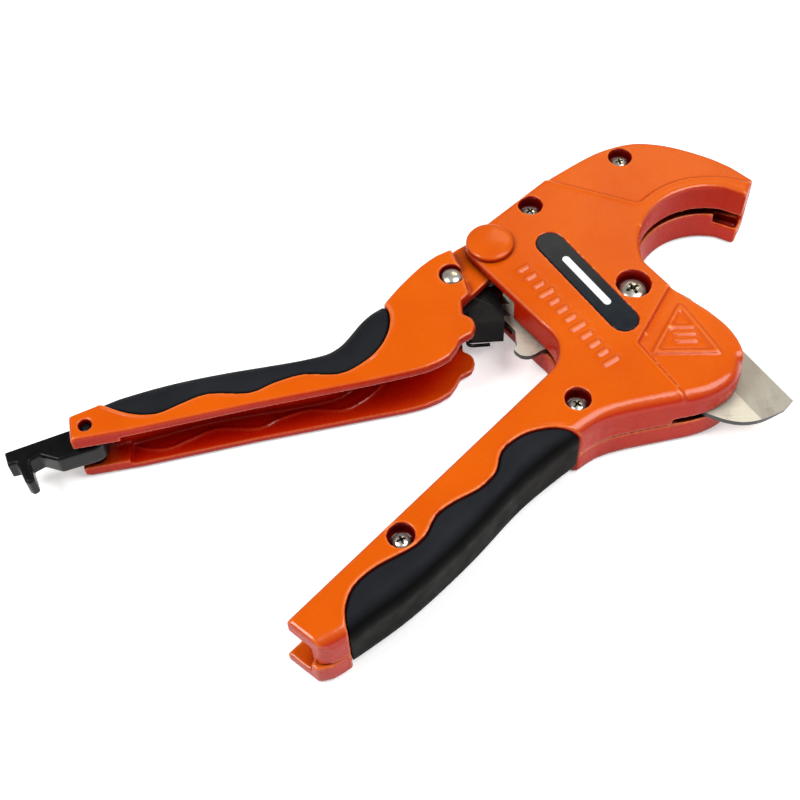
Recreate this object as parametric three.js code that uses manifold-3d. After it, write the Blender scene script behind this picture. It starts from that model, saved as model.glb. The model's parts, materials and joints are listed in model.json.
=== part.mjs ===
// Ratchet pipe cutter for plastic pipe up to 42 mm.
//
// Millimetres, +Z up. The tool lies flat. Plan dimensions are taken from the blade pivot axis,
// with the jaw towards +X +Y and both handles towards -X. The last lines move the whole tool so
// that its origin is the bottom centre of its bounding box.

import * as THREE from 'three';
import { mergeVertices } from 'three/addons/utils/BufferGeometryUtils.js';
import Module from 'manifold-3d';

const wasm = await Module();
wasm.setup();

// ---------------------------------------------------------------- driving dimensions

const GAP = 0.3; // running and assembly clearance
const BODY_HEIGHT = 23.6; // over both shells
const PARTING = 10; // height of the plane where the two shells meet
const BLADE_THICKNESS = 2;
const BLADE_BOTTOM = PARTING + 0.15;
const BLADE_TOP = BLADE_BOTTOM + BLADE_THICKNESS;
const BEVEL_WIDTH = 13; // ground strip along the cutting edge
const EDGE_HALF = 0.12; // half the thickness left at the cutting edge
const MID = BODY_HEIGHT / 2; // the movable handle is symmetrical about this height
const EAR = 3.2; // wall of each shell at the handle pivot
const PLATE = 3.3; // side plates of the movable handle
const TONGUE = 3.1; // each tongue plate of the movable handle
const FAR = 200; // larger than the tool, for cutting blocks

const JAW_CENTRE = [29.3, 13.7];
const JAW_RADIUS = 25; // seat for a 42 mm pipe
const HANDLE_PIVOT = [-43.7, 19.3];
const PAWL_PIVOT = [-56.9, 8.5];
const LATCH_PIVOT = [-169.9, -40.5];
const BODY_SCREWS = [[3.8, 55.3], [-28.8, 35.4], [-23, -42.1], [-77.9, -83.9]];

const SHOULDER = [11.5, -1.4];
const JAW_TIP_INNER = [42.6, 34.1];
const JAW_TIP_OUTER = [46.4, 41.3];
const HANDLE_END_INNER = [-110.3, -107.8];
const HANDLE_END_OUTER = [-101.9, -115.4];
const LOWER_REACH = [-1.2, -1.3]; // the lower shell runs this much further at the handle end
const CROTCH = [-30.8, -32];
const BLADE_TIP = [44.2, -39.8];
const BLADE_HEEL = [20, 2];

const EAR_RADIUS = 7.8;
const TONGUE_RADIUS = 7.3;
const COUNTERBORE = 3.95;
const PIVOT_COUNTERBORE = 5.5;
const COUNTERBORE_DEPTH = 5;
const SCREW_BORE = 1.9;
const PIVOT_SCREW_BORE = 2.9;
const SLEEVE_RADIUS = 4.2; // pivot sleeve that the blade turns on
const SLEEVE_BOTTOM = 7.3;
const SLEEVE_TOP = 17.6;
const BLADE_HUB_BORE = 4.5;
const NUT_SEAT = 4; // depth of the hexagonal seat in the underside
const NUT_RADIUS = 4.8; // across the corners, halved
const SPRING_POCKET = 8.6; // radius of the pocket for the blade's return spring
const SPRING_POCKET_TOP = 16.4;
const PIVOT_SHANK = 3; // handle rivet
const RIVET_FOOT = 5.9;
const RIVET_DOME = 7.7;
const PAWL_RIVET_SHANK = 2.1;
const PAWL_RIVET_HEAD = 3.6;
const PAWL_BORE = 2.5;
const LATCH_PIN_RADIUS = 1.75;
const LATCH_PLATE = 5.2; // side plates of the movable handle beside the latch
const CHANNEL_HALF = 5.2; // half the clear height between the two tongue plates
const HEAD_SEAT = BODY_HEIGHT - COUNTERBORE_DEPTH;
const TAIL_SWEEP = 43.4; // radius that the ratchet tail needs inside the body
const BLADE_SWEEP = 59.9; // radius that the blade tip needs
const JAW_SLOT_REACH = 46; // radius of the slot behind the throat
const TOOTH_TIP = 41;
const TOOTH_ROOT = 38.4;
const TOOTH_PITCH = 7; // degrees
const TOOTH_COUNT = 13;
const FIRST_TOOTH = 97; // degrees, where the ratchet starts beside the throat

const GRIP_SKIN = 1.6; // rubber over the top and bottom of a handle
const GRIP_SIDE = 3.5; // rubber over the outer side of a handle
const GRIP_PROUD = 1.8; // the movable handle's grip stands this much outside its casting

// Wavy inner borders of the two grips and the outer silhouettes of the two handles.
const FIXED_WAVE = [[-93.2, -112.6], [-93.9, -106], [-91.5, -99], [-85, -93.4], [-76, -88.9], [-71, -85],
  [-67.4, -78.6], [-62, -74.6], [-54.5, -70.8], [-49.3, -65.6], [-47, -58.8], [-41, -54], [-34.6, -52.2],
  [-29, -52.3], [-23.2, -53.9]];
const FIXED_OUTER = [[-93.2, -112.6], [-76, -100.8], [-58, -84.9], [-41, -67.7], [-23.2, -53.9]];
const MOVING_WAVE = [[-166, -33], [-156.8, -37.1], [-148.7, -37.8], [-142, -35], [-133.4, -31.8],
  [-121, -32.4], [-113.6, -29.3], [-104.6, -26.8], [-94, -27.5], [-86.6, -23.9], [-81.2, -18.5],
  [-78.2, -12], [-77.8, -5.9], [-79.3, -2]];
const MOVING_OUTER = [[-166, -33], [-148, -27.8], [-130, -24.4], [-103.2, -20.8], [-93.3, -17.1],
  [-85.1, -7.2], [-79.3, -2]];

// ---------------------------------------------------------------- materials

const paint = new THREE.MeshStandardMaterial({ color: 0xe8650c, roughness: 0.32, metalness: 0.1 });
const steel = new THREE.MeshStandardMaterial({ color: 0xb4b0a6, roughness: 0.35, metalness: 1 });
const nickel = new THREE.MeshStandardMaterial({ color: 0xd0cabc, roughness: 0.22, metalness: 1 });
const springSteel = new THREE.MeshStandardMaterial({ color: 0x8d8d8c, roughness: 0.3, metalness: 1 });
const blackSteel = new THREE.MeshStandardMaterial({ color: 0x16181a, roughness: 0.35, metalness: 0.6 });
const rubber = new THREE.MeshStandardMaterial({ color: 0x23282a, roughness: 0.75, metalness: 0 });
const blackPlastic = new THREE.MeshStandardMaterial({ color: 0x17181a, roughness: 0.45, metalness: 0 });
const badgeFilm = new THREE.MeshStandardMaterial({ color: 0x19202a, roughness: 0.2, metalness: 0 });

// ---------------------------------------------------------------- plan geometry

const radians = (degrees) => degrees * Math.PI / 180;

const polar = (radius, degrees, [x, y] = [0, 0]) => (
  [x + radius * Math.cos(radians(degrees)), y + radius * Math.sin(radians(degrees))]);

function arc(centre, radius, from, to, count) {
  const points = [];
  for (let i = 0; i <= count; i += 1) {
    points.push(polar(radius, from + (to - from) * i / count, centre));
  }
  return points;
}

function smooth(points, perSpan = 3) {
  const curve = new THREE.SplineCurve(points.map(([x, y]) => new THREE.Vector2(x, y)));
  return curve.getPoints(perSpan * (points.length - 1)).map((p) => [p.x, p.y]);
}

// Moves an open run of points sideways: a positive distance moves it to the left of its direction.
function beside(points, distance) {
  return points.map((point, i) => {
    const [ax, ay] = points[Math.max(i - 1, 0)];
    const [bx, by] = points[Math.min(i + 1, points.length - 1)];
    const length = Math.hypot(bx - ax, by - ay);
    return [point[0] - distance * (by - ay) / length, point[1] + distance * (bx - ax) / length];
  });
}

// Moves both ends of an open run of points outwards, along its end directions.
function lengthened(points, extra) {
  const moved = (end, next) => {
    const length = Math.hypot(end[0] - next[0], end[1] - next[1]);
    return [end[0] + extra * (end[0] - next[0]) / length, end[1] + extra * (end[1] - next[1]) / length];
  };
  return [moved(points[0], points[1]), ...points.slice(1, -1), moved(points.at(-1), points.at(-2))];
}

// ---------------------------------------------------------------- solids

function solid(geometry) {
  geometry.deleteAttribute('normal');
  geometry.deleteAttribute('uv');
  const merged = mergeVertices(geometry, 1e-4);
  return new wasm.Manifold(new wasm.Mesh({
    numProp: 3,
    vertProperties: new Float32Array(merged.attributes.position.array),
    triVerts: new Uint32Array(merged.index.array),
  }));
}

// An outline raised from one height to another, with its edges rounded by the given amount.
function prism(points, bottom, top, rounding = 0, segments = 2) {
  const shape = new THREE.Shape(points.map(([x, y]) => new THREE.Vector2(x, y)));
  const geometry = new THREE.ExtrudeGeometry(shape, {
    depth: top - bottom - 2 * rounding,
    bevelEnabled: rounding > 0,
    bevelThickness: rounding,
    bevelSize: rounding,
    bevelOffset: -rounding,
    bevelSegments: segments,
    curveSegments: 1,
  });
  geometry.translate(0, 0, bottom + rounding);
  return solid(geometry);
}

function rod([x, y], radius, bottom, top, sides = 28) {
  const geometry = new THREE.CylinderGeometry(radius, radius, top - bottom, sides);
  geometry.rotateX(Math.PI / 2);
  geometry.translate(x, y, (bottom + top) / 2);
  return solid(geometry);
}

// A turned piece: the profile runs [radius, height] from the axis and back to it.
function turned([x, y], profile, sides = 28) {
  const geometry = new THREE.LatheGeometry(profile.map(([r, z]) => new THREE.Vector2(r, z)), sides);
  geometry.rotateX(Math.PI / 2);
  geometry.translate(x, y, 0);
  return solid(geometry);
}

const cutBelow = (body, height) => body.subtract(block([-FAR, -FAR, -FAR], [FAR, FAR, height]));
const cutAbove = (body, height) => body.subtract(block([-FAR, -FAR, height], [FAR, FAR, FAR]));

function block([x0, y0, z0], [x1, y1, z1]) {
  const geometry = new THREE.BoxGeometry(x1 - x0, y1 - y0, z1 - z0);
  geometry.translate((x0 + x1) / 2, (y0 + y1) / 2, (z0 + z1) / 2);
  return solid(geometry);
}

// A wire wound round a vertical axis, with one straight leg at each end.
function coil([x, y], radius, wire, bottom, turns, pitch, startAngle, legs) {
  const points = [];
  const steps = Math.round(turns * 12);
  const start = polar(radius, startAngle);
  const out = polar(legs, startAngle - 90, start);
  points.push(new THREE.Vector3(x + out[0], y + out[1], bottom));
  for (let i = 0; i <= steps; i += 1) {
    const angle = startAngle + 360 * turns * i / steps;
    points.push(new THREE.Vector3(...polar(radius, angle, [x, y]), bottom + pitch * turns * i / steps));
  }
  const endAngle = startAngle + 360 * turns;
  const tail = polar(legs, endAngle + 90, polar(radius, endAngle, [x, y]));
  points.push(new THREE.Vector3(...tail, bottom + pitch * turns));
  const section = new THREE.Shape(arc([0, 0], wire, 0, 300, 5).map(([a, b]) => new THREE.Vector2(a, b)));
  return solid(new THREE.ExtrudeGeometry(section, {
    steps: steps + 8,
    bevelEnabled: false,
    extrudePath: new THREE.CatmullRomCurve3(points, false, 'centripetal'),
  }));
}

// ---------------------------------------------------------------- fixed body

function bodyOutline([reachX, reachY] = [0, 0]) {
  const upperEdge = [[-22.6, 46.9], [-45.8, 27.3]];
  return [
    [HANDLE_END_INNER[0] + reachX, HANDLE_END_INNER[1] + reachY],
    [HANDLE_END_OUTER[0] + reachX, HANDLE_END_OUTER[1] + reachY],
    ...smooth([[-98.5 + reachX / 2, -115.4 + reachY / 2], ...FIXED_OUTER, [-12.8, -48.4], [5.4, -45.2],
      [16.8, -43], [25.4, -38], [29.3, -28.8], [27.2, -19.4], [21.6, -11.3]]),
    SHOULDER,
    [5.2, 8.3],
    ...arc(JAW_CENTRE, JAW_RADIUS, 190, 74, 20),
    JAW_TIP_INNER,
    JAW_TIP_OUTER,
    ...smooth([[40.3, 48], [33, 53.4], [22, 59], [12.6, 61.5], [5, 61.2], [-4, 58.3],
      [-12.4, 53.5]]),
    ...upperEdge,
    ...arc(HANDLE_PIVOT, EAR_RADIUS, 112, 216, 9),
    ...smooth([[-31, -12.9], [-28, -17], [-26.6, -21], [-26.8, -25.4], [-28.4, -29.2], CROTCH], 2),
  ];
}

// Space between the shells where the tongue, the pawl bracket and the handle spring move.
const mechanismPocket = [[-62, 12], [-46, -5], [-37, -2], [-29.5, 8], [-28, 17], [-32, 24.5], [-37, 27.6],
  [-42, 27.6], [-44.5, 33], [-62, 33]];

// Space between the shells for the blade and its ratchet tail at every angle.
function bladeSweep(bottom, top) {
  const tail = rod([0, 0], TAIL_SWEEP, bottom, top, 48);
  const blade = prism([[0, 0], ...arc([0, 0], BLADE_SWEEP, -82, 58.5, 24)], bottom, top);
  const jawSlot = prism([[0, 0], ...arc([0, 0], JAW_SLOT_REACH, 50, 90, 8)], bottom, top);
  return tail.add(blade).add(jawSlot);
}

// Mouth at the end of the fixed handle that the latch hook enters.
const latchMouth = [[-116, -108.5], [-104, -95.5], [-96.5, -102.4], [-101.5, -108.2], [-106, -118]];
const LATCH_MOUTH_BOTTOM = 5;
const LATCH_MOUTH_TOP = 17.6;

// Hollow between the two screws of the fixed handle.
const handleHollow = [[-71, -81], [-40, -51], [-31, -51], [-34, -58], [-66, -86]];

// Plan regions of a wrapped grip. Outer and wave run the same way, with the handle on their left;
// inside holds two points beyond the handle that close the rounded outer side.
function gripRegions(wave, outer, inside) {
  const border = smooth(wave).reverse();
  const side = smooth(outer, 6);
  const seatSide = lengthened(side, GAP);
  return {
    rounded: [...side, ...inside],
    grip: [...beside(side, -1), ...border],
    seat: [...beside(seatSide, -4), ...beside(lengthened(border, GAP), -GAP)],
    core: [...beside(side, GRIP_SIDE), ...beside(border, -8)],
    sideStrip: [...beside(seatSide, -4), ...beside(seatSide, GRIP_SIDE + GAP).reverse()],
  };
}

// Removes from a casting the room that a wrapped grip takes.
function seatGrip(casting, { seat, sideStrip }) {
  const top = prism(seat, BODY_HEIGHT - GRIP_SKIN - GAP, BODY_HEIGHT + 2);
  const bottom = prism(seat, -2, GRIP_SKIN + GAP);
  const strip = prism(sideStrip, -2, BODY_HEIGHT + 2).intersect(prism(seat, -2, BODY_HEIGHT + 2));
  return casting.subtract(top).subtract(bottom).subtract(strip);
}

function wrappedGrip({ rounded, grip, core }) {
  return prism(rounded, 0, BODY_HEIGHT, 2.2, 3).intersect(prism(grip, -1, BODY_HEIGHT + 1))
    .subtract(prism(core, GRIP_SKIN, BODY_HEIGHT - GRIP_SKIN));
}

const fixedGripRegions = gripRegions(FIXED_WAVE, FIXED_OUTER, [[-30, -20], [-112, -92]]);
const movingGripRegions = gripRegions([...MOVING_WAVE].reverse(),
  beside([...MOVING_OUTER].reverse(), -GRIP_PROUD), [[-160, -62], [-50, -40], [-50, 10]]);

function screwHoles(shell) {
  let bored = shell;
  for (const place of BODY_SCREWS) {
    bored = bored.subtract(rod(place, SCREW_BORE, 2, BODY_HEIGHT + 1, 20));
    bored = bored.subtract(rod(place, COUNTERBORE, HEAD_SEAT, BODY_HEIGHT + 1));
  }
  return bored;
}

// Stadium outline of the badge, from the axis of one round end to that of the other.
const BADGE_ENDS = [[-24.1, 18.4], [-5.2, -13.7]];
const BADGE_RADIUS = 4.8;
const BADGE_DEPTH = 1;

function stadium([a, b], radius, count = 10) {
  const heading = Math.atan2(b[1] - a[1], b[0] - a[0]) * 180 / Math.PI;
  return [
    ...arc(b, radius, heading - 90, heading + 90, count),
    ...arc(a, radius, heading + 90, heading + 270, count),
  ];
}

// A straight raised rib between two points of the top face.
function rib(from, to, width, bottom, top) {
  return prism(stadium([from, to], width / 2, 2), bottom, top);
}

// Raised triangle with three short bars on the lobe.
function lobeEmblem(face) {
  const corners = [[13, -9.7], [2.4, -26.6], [21.6, -27.8]];
  let emblem = rib(corners[2], corners[0], 1.3, face - 0.4, face + 0.5);
  for (let i = 0; i < 2; i += 1) {
    emblem = emblem.add(rib(corners[i], corners[i + 1], 1.3, face - 0.4, face + 0.5));
  }
  for (let i = 0; i < 3; i += 1) {
    emblem = emblem.add(rib([9.2, -17.6 - 2.6 * i], [15.6, -17.9 - 2.6 * i], 1, face - 0.4, face + 0.4));
  }
  return emblem;
}

// Row of plain raised bars beside the badge.
function sizeBars(face) {
  const start = [-34, 8.5];
  const step = [2.05, -3.45];
  let bars = null;
  for (let i = 0; i < 12; i += 1) {
    const middle = [start[0] + step[0] * i, start[1] + step[1] * i];
    const half = i % 4 === 3 ? 2.6 : 1.8;
    const bar = rib([middle[0] - half * 0.86, middle[1] - half * 0.51],
      [middle[0] + half * 0.86, middle[1] + half * 0.51], 1, face - 0.4, face + 0.4);
    bars = bars ? bars.add(bar) : bar;
  }
  return bars;
}

const FACE_STEP = 0.8; // how far the hook and lobe faces lie below the middle of the top face

function topFaceSteps() {
  const hook = [[-24, 49.5], [-22, 46.2], [6.1, 33.7], ...arc(JAW_CENTRE, JAW_RADIUS + 4.6, 136, 62, 14),
    [60, 40], [40, 75], [-20, 75]];
  const lobe = [[11.4, -1.2], [-2.3, -23], [8.5, -42.8], [8.5, -55], [45, -45], [40, -5], [13, 0.4]];
  const below = BODY_HEIGHT - FACE_STEP;
  return prism(hook, below, BODY_HEIGHT + 2).add(prism(lobe, below, BODY_HEIGHT + 2));
}

function upperBodyShell() {
  const lobeFace = BODY_HEIGHT - FACE_STEP;
  let shell = cutBelow(prism(bodyOutline(), 2, BODY_HEIGHT, 1.2), PARTING + 0.15);
  shell = shell.subtract(topFaceSteps());
  shell = shell.add(lobeEmblem(lobeFace)).add(sizeBars(BODY_HEIGHT));
  shell = shell.subtract(bladeSweep(PARTING - 1, BLADE_TOP + GAP));
  shell = shell.subtract(prism(mechanismPocket, PARTING - 1, BODY_HEIGHT - EAR));
  shell = shell.subtract(prism(latchMouth, PARTING - 1, LATCH_MOUTH_TOP));
  shell = shell.subtract(prism(handleHollow, PARTING - 1, BODY_HEIGHT - 4));
  shell = shell.subtract(prism(stadium(BADGE_ENDS, BADGE_RADIUS), BODY_HEIGHT - BADGE_DEPTH,
    BODY_HEIGHT + 1));
  shell = shell.subtract(rod(HANDLE_PIVOT, PIVOT_SHANK + GAP, PARTING, BODY_HEIGHT + 1));
  shell = shell.subtract(rod([0, 0], PIVOT_COUNTERBORE, HEAD_SEAT, BODY_HEIGHT + 1));
  shell = shell.subtract(rod([0, 0], PIVOT_SCREW_BORE, PARTING, BODY_HEIGHT));
  shell = shell.subtract(rod([0, 0], SLEEVE_RADIUS + GAP, PARTING, SLEEVE_TOP + GAP));
  shell = shell.subtract(rod([0, 0], SPRING_POCKET, PARTING, SPRING_POCKET_TOP));
  return seatGrip(screwHoles(shell), fixedGripRegions);
}

// Scoop at the jaw tip that lets the blade tip into the lower shell.
const jawScoop = [[33, 34], [36, 42], [43, 38.6], [50, 36], [44, 28]];

function lowerBodyShell() {
  let shell = cutAbove(prism(bodyOutline(LOWER_REACH), 0, BODY_HEIGHT, 1.2), PARTING - 0.15);
  shell = shell.subtract(prism(mechanismPocket, EAR, PARTING + 1));
  shell = shell.subtract(prism(latchMouth, LATCH_MOUTH_BOTTOM, PARTING + 1));
  shell = shell.subtract(prism(handleHollow, 4, PARTING + 1));
  shell = shell.subtract(prism(jawScoop, 6.4, PARTING + 1));
  shell = shell.subtract(rod(HANDLE_PIVOT, PIVOT_SHANK + GAP, -1, PARTING));
  shell = shell.subtract(rod(HANDLE_PIVOT, RIVET_FOOT + GAP, -1, 1.4));
  shell = shell.subtract(rod([0, 0], PIVOT_SCREW_BORE, -1, PARTING));
  shell = shell.subtract(rod([0, 0], SLEEVE_RADIUS + GAP, SLEEVE_BOTTOM - GAP, PARTING));
  shell = shell.subtract(rod([0, 0], NUT_RADIUS + 2 * GAP, -1, NUT_SEAT, 6));
  return seatGrip(screwHoles(shell), fixedGripRegions);
}

function badgePlate() {
  return prism(stadium(BADGE_ENDS, BADGE_RADIUS - GAP), BODY_HEIGHT - BADGE_DEPTH + 0.1, BODY_HEIGHT - 0.2);
}

// ---------------------------------------------------------------- screws, rivets and pins

// Cross recess: two crossed slots that narrow towards the bottom.
function crossRecess(place, top, size) {
  const slot = (dx, dy) => block([place[0] - dx, place[1] - dy, top - size * 0.75],
    [place[0] + dx, place[1] + dy, top + 1]);
  return slot(size, size * 0.2).add(slot(size * 0.2, size));
}

function panScrew(place, headRadius, headHeight, shaftRadius, underHead, length) {
  const top = underHead + headHeight;
  const bottom = underHead - length;
  const screw = turned(place, [[0, bottom], [shaftRadius * 0.5, bottom], [shaftRadius, bottom + 1],
    [shaftRadius, underHead], [headRadius, underHead], [headRadius, underHead + headHeight * 0.45],
    [headRadius * 0.86, underHead + headHeight * 0.8], [headRadius * 0.5, top], [0, top]], 16);
  return screw.subtract(crossRecess(place, top, headRadius * 0.56));
}

const bodyScrew = (place) => panScrew(place, 2.8, 2.1, SCREW_BORE - 0.35, HEAD_SEAT + 0.1, 15.2);

const bladePivotScrew = () => panScrew([0, 0], 4.4, 2.7, PIVOT_SCREW_BORE - 0.4, HEAD_SEAT + 0.1, 17.2);

function bladePivotNut() {
  return rod([0, 0], NUT_RADIUS, 0.5, NUT_SEAT - GAP, 6)
    .subtract(rod([0, 0], PIVOT_SCREW_BORE - 0.1, 0, NUT_SEAT));
}

function bladePivotSleeve() {
  return rod([0, 0], SLEEVE_RADIUS, SLEEVE_BOTTOM, SLEEVE_TOP)
    .subtract(rod([0, 0], PIVOT_SCREW_BORE - 0.1, SLEEVE_BOTTOM - 1, SLEEVE_TOP + 1));
}

// Dome-headed rivet that carries the movable handle.
function handlePivotRivet() {
  const seat = BODY_HEIGHT + 0.15;
  const rim = seat + 0.9;
  const dome = arc([0, 0], 1, 0, 90, 8).map(([across, rise]) => (
    [RIVET_DOME * across ** 0.7, rim + 1.7 * rise ** 0.85]));
  return turned(HANDLE_PIVOT, [[0, 0.2], [RIVET_FOOT, 0.2], [RIVET_FOOT, 1.1], [PIVOT_SHANK, 1.1],
    [PIVOT_SHANK, seat], [RIVET_DOME, seat], ...dome]);
}

function pawlRivet() {
  const seat = BODY_HEIGHT - PLATE + 0.15;
  const base = PLATE - 0.15;
  return turned(PAWL_PIVOT, [[0, base - 1.9], [2.4, base - 1.5], [PAWL_RIVET_HEAD, base],
    [PAWL_RIVET_SHANK, base], [PAWL_RIVET_SHANK, seat], [PAWL_RIVET_HEAD, seat],
    [PAWL_RIVET_HEAD - 0.3, seat + 1.3], [PAWL_RIVET_HEAD - 1.4, seat + 2.3], [0, seat + 2.8]]);
}

function latchPin() {
  return rod(LATCH_PIVOT, LATCH_PIN_RADIUS, 2, BODY_HEIGHT - 2, 20);
}

// ---------------------------------------------------------------- blade

// The cutting blade, its hub and the toothed tail are one plate.
function bladeOutline() {
  const teeth = [];
  for (let i = 0; i < TOOTH_COUNT; i += 1) {
    const angle = FIRST_TOOTH + TOOTH_PITCH * i;
    teeth.push(polar(TOOTH_ROOT, angle + 0.6));
    teeth.push(polar(TOOTH_TIP, angle + 0.3));
    teeth.push(polar(TOOTH_TIP, angle + 2.6));
  }
  return [
    ...smooth([BLADE_HEEL, [14, 6.4], [8, 7.8], [2, 9.3]]),
    [-1.2, 9.6],
    polar(35, 96),
    ...teeth,
    polar(TOOTH_ROOT, 191),
    ...smooth([[-37.9, -11.2], [-37.8, -13], [-38.8, -14], [-38.3, -15.5], [-36.4, -17.2], [-33.6, -17.4],
      [-30.6, -15.8]]),
    ...smooth([[-12, -8.4], [-6, -12], [-1, -20], [6, -31], [13, -39.6], [20, -44.6], [27, -46.9],
      [33.6, -46.2], [40.6, -43.3]]),
    BLADE_TIP,
  ];
}

// Both wedges that the ground bevel takes off the plate along its straight cutting edge.
function groundBevel() {
  const [tipX, tipY] = BLADE_TIP;
  const back = new THREE.Vector3(BLADE_HEEL[0] - tipX, BLADE_HEEL[1] - tipY, 0).normalize();
  const up = new THREE.Vector3(0, 0, 1);
  const frame = new THREE.Matrix4().makeBasis(up.clone().cross(back), up, back);
  const overrun = 5;
  const wedge = [[-overrun, EDGE_HALF], [0, EDGE_HALF], [BEVEL_WIDTH, BLADE_THICKNESS / 2],
    [BEVEL_WIDTH, BLADE_THICKNESS], [-overrun, BLADE_THICKNESS]];
  const mirrored = wedge.map(([across, height]) => [across, -height]);
  const [top, bottom] = [wedge, mirrored].map((outline) => {
    const shape = new THREE.Shape(outline.map(([x, y]) => new THREE.Vector2(x, y)));
    const geometry = new THREE.ExtrudeGeometry(shape, { depth: BLADE_SWEEP, bevelEnabled: false });
    geometry.translate(0, 0, -overrun);
    geometry.applyMatrix4(frame);
    geometry.translate(tipX, tipY, (BLADE_BOTTOM + BLADE_TOP) / 2);
    return solid(geometry);
  });
  return top.add(bottom);
}

function blade() {
  return prism(bladeOutline(), BLADE_BOTTOM, BLADE_TOP).subtract(groundBevel())
    .subtract(rod([0, 0], BLADE_HUB_BORE, 0, BODY_HEIGHT));
}

const bladeReturnSpring = () => coil([0, 0], 6.9, 0.5, BLADE_TOP + 0.9, 2.25, 1.05, 200, 1);

// ---------------------------------------------------------------- movable handle

function movingOutline() {
  return [
    [-175.3, -36.9],
    [-174, -45.9],
    [-156.8, -43.5],
    [-120.8, -36.9],
    [-84.8, -31.1],
    ...smooth([[-74, -29], [-66.8, -27.3], [-59.6, -23.6], [-56, -17.8]], 2),
    [-54.4, -16.8],
    ...smooth([[-52.2, -15.6], [-50.9, -12.6], [-51.7, -9.4], [-54.4, -7.6]], 2),
    [-54.3, -2.4],
    [-51.6, 0.4],
    ...smooth([[-52.8, 7], [-53.6, 11], [-56.2, 19.2]], 2),
    ...smooth([[-61.4, 16.8], [-66.8, 12.6], [-74, 4.9], [-79.3, -2]], 2),
    ...smooth(MOVING_OUTER, 2).reverse().slice(1, -1),
    [-166, -33],
  ];
}

// Everything inside the web and open towards the fixed handle.
function channelOutline() {
  const web = smooth([[-165, -37], [-146, -31.8], [-129.8, -28.4], [-102, -24.8], [-91, -20.4],
    [-81.6, -9.8], [-71, 3.6], [-64, 11], [-58, 14.6]], 3);
  return [[-182, -34], [-182, -60], [-60, -60], [-20, -30], [-20, 34], [-57.5, 34], ...web.reverse(),
    [-165, -31], [-165, -28], [-182, -28]];
}

// The two tongue plates that reach between the shells, with their root under the side plate.
function tongueOutline() {
  return [...arc(HANDLE_PIVOT, TONGUE_RADIUS, -47, 128, 14), [-54.6, 21.2], [-60, 17], [-66, 12.5],
    [-63, 2], [-58, -3], [-53.5, -0.6]];
}

// The lower side plate is a little narrower than the upper one towards the latch.
const lowerPlateTrim = [[-180, -45.8], [-173.4, -44.5], [-156.8, -42.4], [-120.8, -36.1], [-84.8, -30.6],
  [-74, -29.1], [-74, -60], [-180, -60]];

function movableHandle() {
  const outline = movingOutline();
  let handle = prism(outline, 0, BODY_HEIGHT, 1.1);
  handle = handle.subtract(prism(channelOutline(), PLATE, BODY_HEIGHT - PLATE));
  const inside = prism(outline, PLATE - 1, BODY_HEIGHT - PLATE + 1);
  const tongueRoot = [[-66, 30], [-66, -10], [-51.4, -10], [-51.4, 0.4], [-53, 8], [-56, 19.3], [-56, 30]];
  const roots = inside.intersect(prism(tongueRoot, 0, BODY_HEIGHT));
  const plates = prism(tongueOutline(), MID - CHANNEL_HALF - TONGUE, MID + CHANNEL_HALF + TONGUE);
  handle = handle.add(roots.intersect(prism(tongueOutline(), 0, BODY_HEIGHT))).add(plates);
  handle = handle.subtract(prism(channelOutline(), MID - CHANNEL_HALF, MID + CHANNEL_HALF));
  const latchPad = inside.intersect(block([-180, -60, 2], [-160, -20, LATCH_PLATE])
    .add(block([-180, -60, BODY_HEIGHT - LATCH_PLATE], [-160, -20, BODY_HEIGHT - 2])));
  handle = handle.add(latchPad).subtract(prism(lowerPlateTrim, -1, MID));
  handle = handle.subtract(rod(HANDLE_PIVOT, PIVOT_SHANK + 0.4, 0, BODY_HEIGHT));
  handle = handle.subtract(rod(PAWL_PIVOT, PAWL_BORE, -1, BODY_HEIGHT + 1));
  handle = handle.subtract(rod(PAWL_PIVOT, COUNTERBORE, BODY_HEIGHT - PLATE, BODY_HEIGHT + 1));
  handle = handle.subtract(rod(PAWL_PIVOT, COUNTERBORE, -1, PLATE));
  handle = handle.subtract(rod(LATCH_PIVOT, LATCH_PIN_RADIUS + GAP, -1, BODY_HEIGHT + 1, 20));
  return seatGrip(handle, movingGripRegions);
}

// ---------------------------------------------------------------- pawl

const PAWL_BOTTOM = 9.4;
const PAWL_TOP = 12.9;
const BRACKET_BOTTOM = 7.2;
const BRACKET_TOP = 16.6;
const BRACKET_SHEET = 0.9;
const FLANGE_BOTTOM = 6.2;
const FLANGE_FACE = -6.8; // outer face of the folded flange

function pawl() {
  const outline = [...arc(PAWL_PIVOT, 4.6, 20, 250, 14), ...smooth([[-54, 1.4], [-49.6, -2.6], [-45, -5],
    [-42, -5.4]]), [-41.6, -3.8], ...smooth([[-44.4, -1.4], [-48, 3], [-52, 8.6]])];
  return prism(outline, PAWL_BOTTOM, PAWL_TOP).subtract(rod(PAWL_PIVOT, PAWL_BORE, 0, BODY_HEIGHT));
}

// U-bent sheet steel bracket round the pawl: two cheeks and the folded flange below them.
function pawlBracket() {
  const cheek = [...arc(PAWL_PIVOT, 4.4, 60, 215, 10), [-56, -3.4], [-53.4, FLANGE_FACE],
    [-41.2, FLANGE_FACE], [-41, -2], [-42.4, 4], [-47.4, 9.2]];
  const inner = FLANGE_FACE + BRACKET_SHEET;
  const room = [[-70, inner], [-70, 30], [-30, 30], [-30, inner]];
  return prism(cheek, BRACKET_BOTTOM, BRACKET_TOP)
    .add(block([-53.4, FLANGE_FACE, FLANGE_BOTTOM], [-41.2, inner, BRACKET_TOP]))
    .subtract(prism(room, BRACKET_BOTTOM + BRACKET_SHEET, BRACKET_TOP - BRACKET_SHEET))
    .subtract(rod(PAWL_PIVOT, PAWL_BORE, 0, BODY_HEIGHT));
}

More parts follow.
